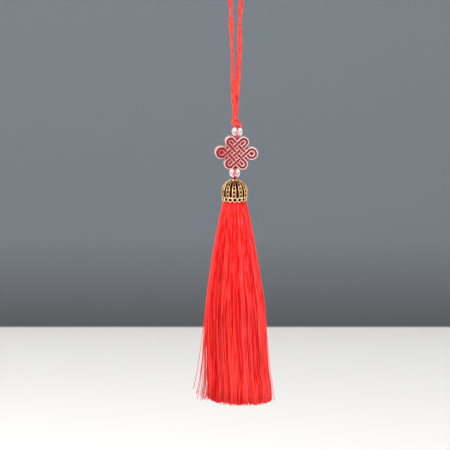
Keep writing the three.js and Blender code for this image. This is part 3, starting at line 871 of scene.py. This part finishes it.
def cap_ribs():
    """Points of the ribs by rib, ring and side, and the tone of each. The outer face follows the
    bell's profile, raised as two wires at its edges and as a row of beads with pits between them
    along its middle."""
    profile = smooth_path(CAP_PROFILE, RIB_STEP)
    share = np.linspace(0, 1, len(profile))
    radius, height = profile[:, 0], profile[:, 2]
    slope = np.stack([np.gradient(radius), np.gradient(height)], axis=1)
    slope /= np.linalg.norm(slope, axis=1, keepdims=True)
    normal_out, normal_up = slope[:, 1], -slope[:, 0]
    slot = SLOT_WIDTH_LOW + (SLOT_WIDTH_HIGH - SLOT_WIDTH_LOW) * share
    half = np.pi / RIB_COUNT - slot / 2 / radius
    across = np.linspace(-1, 1, 25)
    wire = np.exp(-((np.abs(across) - WIRE_PLACE) / WIRE_HALF) ** 2)
    lane = np.exp(-(across / LANE_HALF) ** 4)
    along = np.arange(len(profile)) * RIB_STEP
    beads = np.cos(2 * np.pi * along / BEAD_ROW_PITCH)[:, None] * lane
    rise = WIRE_RISE * wire + BEAD_ROW_RISE * beads
    tone = np.clip(TONE_CHANNEL + TONE_WIRE * wire + TONE_LANE * lane + TONE_BEADS * beads, 0, 1)
    tone *= 1 - TONE_FADE * share[:, None]
    rise = np.concatenate([rise, np.full(rise.shape, -RIB_THICKNESS)], axis=1)
    # The inner faces take a dark tone as painted shade.
    tone = np.concatenate([tone, np.full(tone.shape, TONE_INSIDE_SHADE)], axis=1)
    spread = half[:, None] * np.concatenate([across, across[::-1]])
    reach = radius[:, None] + rise * normal_out[:, None]
    level = height[:, None] + rise * normal_up[:, None]
    ribs = RIB_FIRST + 2 * np.pi * np.arange(RIB_COUNT) / RIB_COUNT
    out, _ = from_front(ribs[:, None, None] + spread)
    points = out * reach[..., None]
    points[..., 2] = level
    return points, np.broadcast_to(tone, points.shape[:3])


def rounded_outline(rows, rounding, count=8):
    """Closed outline of radius and height through rows, its corners cut by small arcs."""
    rows = np.array(rows, float)
    before = np.roll(rows, 1, axis=0) - rows
    after = np.roll(rows, -1, axis=0) - rows
    before *= rounding / np.linalg.norm(before, axis=1, keepdims=True)
    after *= rounding / np.linalg.norm(after, axis=1, keepdims=True)
    t = np.linspace(0, 1, count)[None, :, None]
    arcs = rows[:, None] + before[:, None] * (1 - t) ** 2 + after[:, None] * t**2
    return arcs.reshape(-1, 2)


def eyelet_rings(steps=28, sides=14):
    """Points of the eyelets: rings of round wire whose axes point out from the cap's axis."""
    around = np.linspace(0, 2 * np.pi, steps, endpoint=False)[:, None]
    section = np.linspace(0, 2 * np.pi, sides, endpoint=False)
    reach = EYELET_RING + EYELET_WIRE * np.cos(section)
    sideways, upward = reach * np.cos(around), reach * np.sin(around)
    outward = EYELET_WIRE * np.sin(section) * np.ones_like(around)
    out, side = from_front(EYELET_FIRST + 2 * np.pi * np.arange(EYELET_COUNT) / EYELET_COUNT)
    points = (out[:, None, None] * (EYELET_CENTRE + outward)[..., None]
              + side[:, None, None] * sideways[..., None])
    points[..., 2] = EYELET_Z + upward
    return points


def antique_gold(name):
    """Gold-coloured metal whose recesses are dark: the tone of each point, roughened by noise,
    sets the colour, and the bright wires are smoother than the dark channels. The tone also
    carries painted shade inside the cap and a painted highlight on the neck ring's top."""
    material, nodes, links, shader = new_material(name, ROUGH_ON_WIRES, metallic=1.0)
    tone = nodes.new("ShaderNodeAttribute")
    tone.attribute_name = "tone"
    grain = noise_node(nodes, links, GRAIN_SCALE)
    worn = nodes.new("ShaderNodeMath")
    worn.operation = "MULTIPLY_ADD"
    worn.inputs[1].default_value = GRAIN_SHARE
    links.new(grain.outputs["Fac"], worn.inputs[0])
    shifted = nodes.new("ShaderNodeMath")
    shifted.operation = "SUBTRACT"
    shifted.inputs[1].default_value = GRAIN_MEAN
    links.new(tone.outputs["Fac"], shifted.inputs[0])
    links.new(shifted.outputs["Value"], worn.inputs[2])
    colours = colour_ramp(nodes, links, worn.outputs["Value"],
                          [(0.08, GOLD_DARK), (0.38, GOLD_MIDDLE), (0.85, GOLD_BRIGHT)])
    links.new(colours.outputs["Color"], shader.inputs["Base Color"])
    rough = nodes.new("ShaderNodeMapRange")
    rough.inputs["To Min"].default_value = ROUGH_IN_RECESSES
    rough.inputs["To Max"].default_value = ROUGH_ON_WIRES
    links.new(worn.outputs["Value"], rough.inputs["Value"])
    links.new(rough.outputs["Result"], shader.inputs["Roughness"])
    raised_by(nodes, links, shader, grain.outputs["Fac"], GRAIN_DEPTH, GRAIN_STRENGTH)
    return material


def joined_surfaces(*surfaces):
    """One array of points and one list of faces from several surfaces of points and faces."""
    starts = np.cumsum([0] + [points.size // 3 for points, _ in surfaces[:-1]])
    points = np.concatenate([points.reshape(-1, 3) for points, _ in surfaces])
    faces = [part + start for (_, parts), start in zip(surfaces, starts) for part in parts]
    return points, faces


rib_points, rib_tone = cap_ribs()
neck = turned_ring(rounded_outline([
    (0.0015, -0.09835), (0.0013, -0.09965), (0.00235, -0.09965), (0.00228, -0.09895),
    (0.002, -0.0988), (0.00188, -0.09835),
], 0.00010), 72)[None]
band = turned_ring(rounded_outline([
    (0.00505, -0.10636), (0.00572, -0.10636), (0.00585, -0.10614), (0.00575, -0.10592),
    (0.00505, -0.10592),
], 0.00008), 96)[None]
eyelets = eyelet_rings()
# A ring in the darkest gold behind the eyelets: painted shade seen through their holes.
eyelet_shade_ring = turned_ring(np.array([
    (0.005, -0.10775), (0.0052, -0.10775), (0.0052, -0.106), (0.005, -0.106),
]), 96)[None]
cap_points, cap_faces = joined_surfaces(
    (rib_points, tube_faces(*rib_points.shape[:3])),
    (eyelet_shade_ring, tube_faces(*eyelet_shade_ring.shape[:3], closed=True)),
    (neck, tube_faces(*neck.shape[:3], closed=True)),
    (band, tube_faces(*band.shape[:3], closed=True)),
    (eyelets, tube_faces(*eyelets.shape[:3], closed=True)),
)
gold = antique_gold("antique_gold")
cap = new_piece("bell_cap", cap_points + (CAP_X, 0, 0), cap_faces, gold)
# A painted highlight on the neck ring's top face; the rest of the ring is darker.
neck_tone = np.where(neck[..., 2] > NECK_EDGE, TONE_NECK_HIGHLIGHT, TONE_UNDER_NECK)
mark(cap, "tone", np.concatenate([
    rib_tone.ravel(), np.full(eyelet_shade_ring.size // 3, TONE_EYELET_SHADE), neck_tone.ravel(),
    np.full(band.size // 3, TONE_BAND), np.full(eyelets.size // 3, TONE_EYELETS),
]))
fasten(cap, "antique_gold", "tassel_cap")

# Tassel: several thousand fine rayon threads, folded over the core cord and bound into a head
# inside the cap. They spread to a long bell, gather a little into locks, and a few stray.
THREAD_PIECES = 3
THREADS_PER_PIECE = 2160
THREAD_RADIUS = 0.00013
THREAD_RINGS = 15
THREAD_SIDES = 3
THREAD_TOP = -0.1070
THREAD_END = -0.1990
RAGGED = 0.0003
LOCK_RAGGED = 0.0004
END_TILT = 0.0006
LONG_TIP = 0.0013
LONG_SHARE = 0.012
LOCK_COUNT = 1300
LOCK_PULL = 0.08
SKIN_SHARE = 0.6
SKIN_INSIDE = 0.80
DRIFT = 0.045
OWN_WAVES = (0.014, 0.03)
LOCK_WAVES = (0.05, 0.11)
LOCK_SWAY = 0.00012
OWN_SWAY = (0.00008, 0.00010)
TASSEL_SHAPE = np.array([
    # z, half width across x, half depth along y, middle in x
    (-0.2002, 0.01465, 0.0128, 0.00205),
    (-0.1936, 0.0142, 0.0127, 0.0019),
    (-0.1861, 0.01375, 0.0125, 0.00135),
    (-0.1713, 0.01372, 0.0123, 0.0005),
    (-0.1639, 0.01375, 0.012, 0.00018),
    (-0.1565, 0.0134, 0.0116, 0),
    (-0.1513, 0.0128, 0.0112, 0),
    (-0.1443, 0.0117, 0.0104, -0.0003),
    (-0.1372, 0.0107, 0.0095, -0.0002),
    (-0.1302, 0.0095, 0.0085, -0.0003),
    (-0.1232, 0.0083, 0.0076, -0.0003),
    (-0.1162, 0.0069, 0.0065, -0.0003),
    (-0.11, 0.0056, 0.0055, -0.0003),
    (-0.108, 0.0049, 0.0049, -0.0003),
    (-0.104, 0.0046, 0.0046, -0.0003),
])
LOCK_SHADES = 0.35
OWN_SHADES = 0.35
# painted shade: the threads' colour is deeper towards the top
TOP_PAINTED_SHADE = 0.75
STREAK_SCALE = 1100.0
STREAK_STRETCH = 0.05
THREAD_ROUGHNESS = 0.42
THREAD_GLOSS = 0.09
THREAD_DEEP = (0.60, 0.000, 0.001)
# the bright colour is partly the thread's own red and partly painted sheen highlight
THREAD_BRIGHT = (0.86, 0.059, 0.052)


def thread_points(middles, radius):
    """Three-sided threads round their middle lines, by thread, ring and side."""
    around = np.linspace(0, 2 * np.pi, THREAD_SIDES, endpoint=False)
    circle = np.stack([np.cos(around), np.sin(around), np.zeros(THREAD_SIDES)], axis=1)
    return middles[:, :, None] + radius * circle


def hanging_threads(count, random):
    """Middle lines of threads, and the shade of each one from its top to its end, deeper towards
    the top as painted shade. Most threads lie in the tassel's skin. A thread keeps its place in the
    tassel's section as that widens downwards, drifts a little, and leans towards the middle of its
    lock and away from straight by long slow waves."""
    ring = np.where(random.random(count) < SKIN_SHARE, random.uniform(SKIN_INSIDE, 1.0, count),
                    np.sqrt(random.random(count)))
    angle = random.uniform(0, 2 * np.pi, count)
    place = np.stack([ring * np.cos(angle), ring * np.sin(angle)], axis=1)
    lock = np.linalg.norm(place[:, None] - lock_places, axis=2).argmin(axis=1)
    fall = np.linspace(0, 1, THREAD_RINGS)
    end = THREAD_END + random.normal(0, RAGGED, count) - END_TILT * place[:, 0]
    end += LOCK_RAGGED * lock_ends[lock]
    end -= LONG_TIP * (random.random(count) < LONG_SHARE)
    height = THREAD_TOP + fall * (end - THREAD_TOP)[:, None]
    rows = TASSEL_SHAPE[:, 0]
    wide, deep, middle = (np.interp(height, rows, TASSEL_SHAPE[:, c]) for c in (1, 2, 3))
    pull = LOCK_PULL * fall**0.7
    drift = random.normal(0, DRIFT, (count, 2))
    x, y = (
        place[:, axis, None] * (1 - pull) + lock_places[lock, axis, None] * pull
        + drift[:, axis, None] * fall for axis in (0, 1)
    )
    reach = np.maximum(np.hypot(x, y), 1)
    wave = 2 * np.pi * (lock_waves[lock, 0, None] + height / lock_waves[lock, 1, None])
    own = 2 * np.pi * (random.random((count, 1)) + height / random.uniform(*OWN_WAVES, (count, 1)))
    sway = LOCK_SWAY * fall * np.sin(wave) + OWN_SWAY[0] * fall * np.sin(own)
    x = middle + x / reach * (wide - THREAD_RADIUS) + sway
    y = y / reach * (deep - THREAD_RADIUS) + OWN_SWAY[1] * fall * np.cos(own)
    shade = LOCK_SHADES * lock_shades[lock] + OWN_SHADES * random.random(count)
    return np.stack([x, y, height], axis=-1), shade[:, None] * (TOP_PAINTED_SHADE + (1 - TOP_PAINTED_SHADE) * fall)


def silky_thread(name):
    """Glossy rayon: each thread has its own shade of red, with streaks along it; the brightest
    streaks are painted highlights standing in for the rayon's sheen.
    """
    material, nodes, links, shader = new_material(
        name, THREAD_ROUGHNESS, Specular_IOR_Level=THREAD_GLOSS)
    shade = nodes.new("ShaderNodeAttribute")
    shade.attribute_name = "shade"
    streaks_and_sheen = noise_node(nodes, links, STREAK_SCALE, stretch=(1.0, 1.0, STREAK_STRETCH))
    mixed = nodes.new("ShaderNodeMath")
    mixed.operation = "ADD"
    links.new(streaks_and_sheen.outputs["Fac"], mixed.inputs[0])
    links.new(shade.outputs["Fac"], mixed.inputs[1])
    colours = colour_ramp(nodes, links, mixed.outputs["Value"],
                          [(0.60, THREAD_DEEP), (1.0, THREAD_BRIGHT)])
    links.new(colours.outputs["Color"], shader.inputs["Base Color"])
    return material


random = np.random.default_rng(7)
lock_angles = random.uniform(0, 2 * np.pi, LOCK_COUNT)
lock_rings = np.sqrt(random.random(LOCK_COUNT))
lock_places = np.stack([lock_rings * np.cos(lock_angles), lock_rings * np.sin(lock_angles)], axis=1)
lock_waves = np.stack([random.random(LOCK_COUNT), random.uniform(*LOCK_WAVES, LOCK_COUNT)], axis=1)
lock_shades = random.random(LOCK_COUNT)
lock_ends = random.normal(0, 1, LOCK_COUNT)
rayon = silky_thread("rayon_red")


def add_threads(name, middles, shades, radius):
    """A piece of threads with the shade of each one, or of each of its rings."""
    points = thread_points(middles, radius)
    piece = new_piece(name, points, tube_faces(*points.shape[:3]), rayon)
    mark(piece, "shade", np.repeat(shades, points[..., 0].size // shades.size))
    fasten(piece, "red_thread", "tassel")


for number in range(1, THREAD_PIECES + 1):
    add_threads(f"threads_{number}", *hanging_threads(THREADS_PER_PIECE, random), THREAD_RADIUS)

# Stray threads: single rayon threads, held in the same head, that have left the tassel low on
# the left, and two on the right. They get darker as painted shade as they come away from the others.
STRAY_RADIUS = 0.00017
STRAY_SHADE = 0.60
# painted shade: how much darker a stray gets where it hangs free
STRAY_PAINTED_SHADE = 0.8
STRAY_RINGS = 24
STRAY_BEND = 1.4
FAR_STRAYS = np.array([
    # where it leaves, end x, end y, end z
    (-0.15, -0.01895, -0.004, -0.194),
    (-0.151, -0.01765, -0.006, -0.1962),
    (-0.151, -0.0174, -0.005, -0.1958),
    (-0.152, -0.01725, -0.002, -0.1992),
    (-0.154, -0.0169, -0.004, -0.1965),
    (-0.15, 0.0179, -0.002, -0.1999),
    (-0.165, 0.0169, 0.001, -0.1988),
])
NEAR_COUNT = 14
NEAR_LEAVE = (-0.168, -0.153)
NEAR_END_X = (-0.0163, -0.0127)
NEAR_END_Y = (-0.007, 0.004)
NEAR_END_Z = (-0.2002, -0.1985)
near_share = (np.arange(NEAR_COUNT) + random.uniform(0.1, 0.9, NEAR_COUNT)) / NEAR_COUNT
near_strays = np.stack([
    NEAR_LEAVE[1] + (NEAR_LEAVE[0] - NEAR_LEAVE[1]) * near_share,
    NEAR_END_X[0] + (NEAR_END_X[1] - NEAR_END_X[0]) * near_share**0.8,
    random.uniform(*NEAR_END_Y, NEAR_COUNT), random.uniform(*NEAR_END_Z, NEAR_COUNT),
], axis=1)
strayed = np.vstack([FAR_STRAYS, near_strays])
stray_fall = np.linspace(0, 1, STRAY_RINGS)
stray_height = THREAD_TOP + stray_fall * (strayed[:, 3:] - THREAD_TOP)
stray_wide, stray_deep, stray_middle = (
    np.interp(stray_height, TASSEL_SHAPE[:, 0], TASSEL_SHAPE[:, c]) for c in (1, 2, 3)
)
stray_side = np.sign(strayed[:, 1:2])
stray_lean = strayed[:, 2:3] / stray_deep[:, -1:]
loose = np.clip((strayed[:, :1] - stray_height) / (strayed[:, :1] - strayed[:, 3:]), 0, 1)
loose = loose**STRAY_BEND
held_x = stray_middle + stray_side * stray_wide * np.sqrt(1 - stray_lean**2)
stray_x = held_x + loose * (strayed[:, 1:2] - held_x[:, -1:])
strays = np.stack([stray_x, stray_lean * stray_deep, stray_height], axis=-1)
add_threads("stray_threads", strays, STRAY_SHADE * (1 - STRAY_PAINTED_SHADE * loose), STRAY_RADIUS)

# Bound head: the folded ends of the threads inside the cap, coloured nearly black as painted
# shade where it shows between the ribs.
# painted shade: the head is coloured nearly black
HEAD_SHADE_DEEP = (0.035, 0.001, 0.000)
HEAD_SHADE_BRIGHT = (0.150, 0.003, 0.001)
HEAD_SIDES = 240
HEAD_RIDGES = 60
HEAD_RELIEF = 0.02
HEAD_GLOSS = 0.08
HEAD_PROFILE = np.array([
    # radius, nothing, z
    (0.0046, 0, -0.108),
    (0.00462, 0, -0.106),
    (0.0046, 0, -0.1043),
    (0.00435, 0, -0.1032),
    (0.00388, 0, -0.1022),
    (0.00318, 0, -0.10125),
    (0.00215, 0, -0.1006),
    (0.0006, 0, -0.1005),
])
head_profile = smooth_path(HEAD_PROFILE, 0.0003)
head_angle = np.linspace(0, 2 * np.pi, HEAD_SIDES, endpoint=False)
head_radius = head_profile[:, :1] * (1 + HEAD_RELIEF * np.cos(HEAD_RIDGES * head_angle))
head_points = np.stack([
    head_radius * np.cos(head_angle), head_radius * np.sin(head_angle),
    np.broadcast_to(head_profile[:, 2:], head_radius.shape),
], axis=-1)[None]
head_shade_material = nylon_cord("head_painted_shade", HEAD_SHADE_DEEP, HEAD_SHADE_BRIGHT, sheen=0.0, gloss=HEAD_GLOSS)
head = new_piece("bound_head", head_points + (CAP_X, 0, 0), tube_faces(*head_points.shape[:3]),
                 head_shade_material)
fasten(head, "red_thread", "tassel")
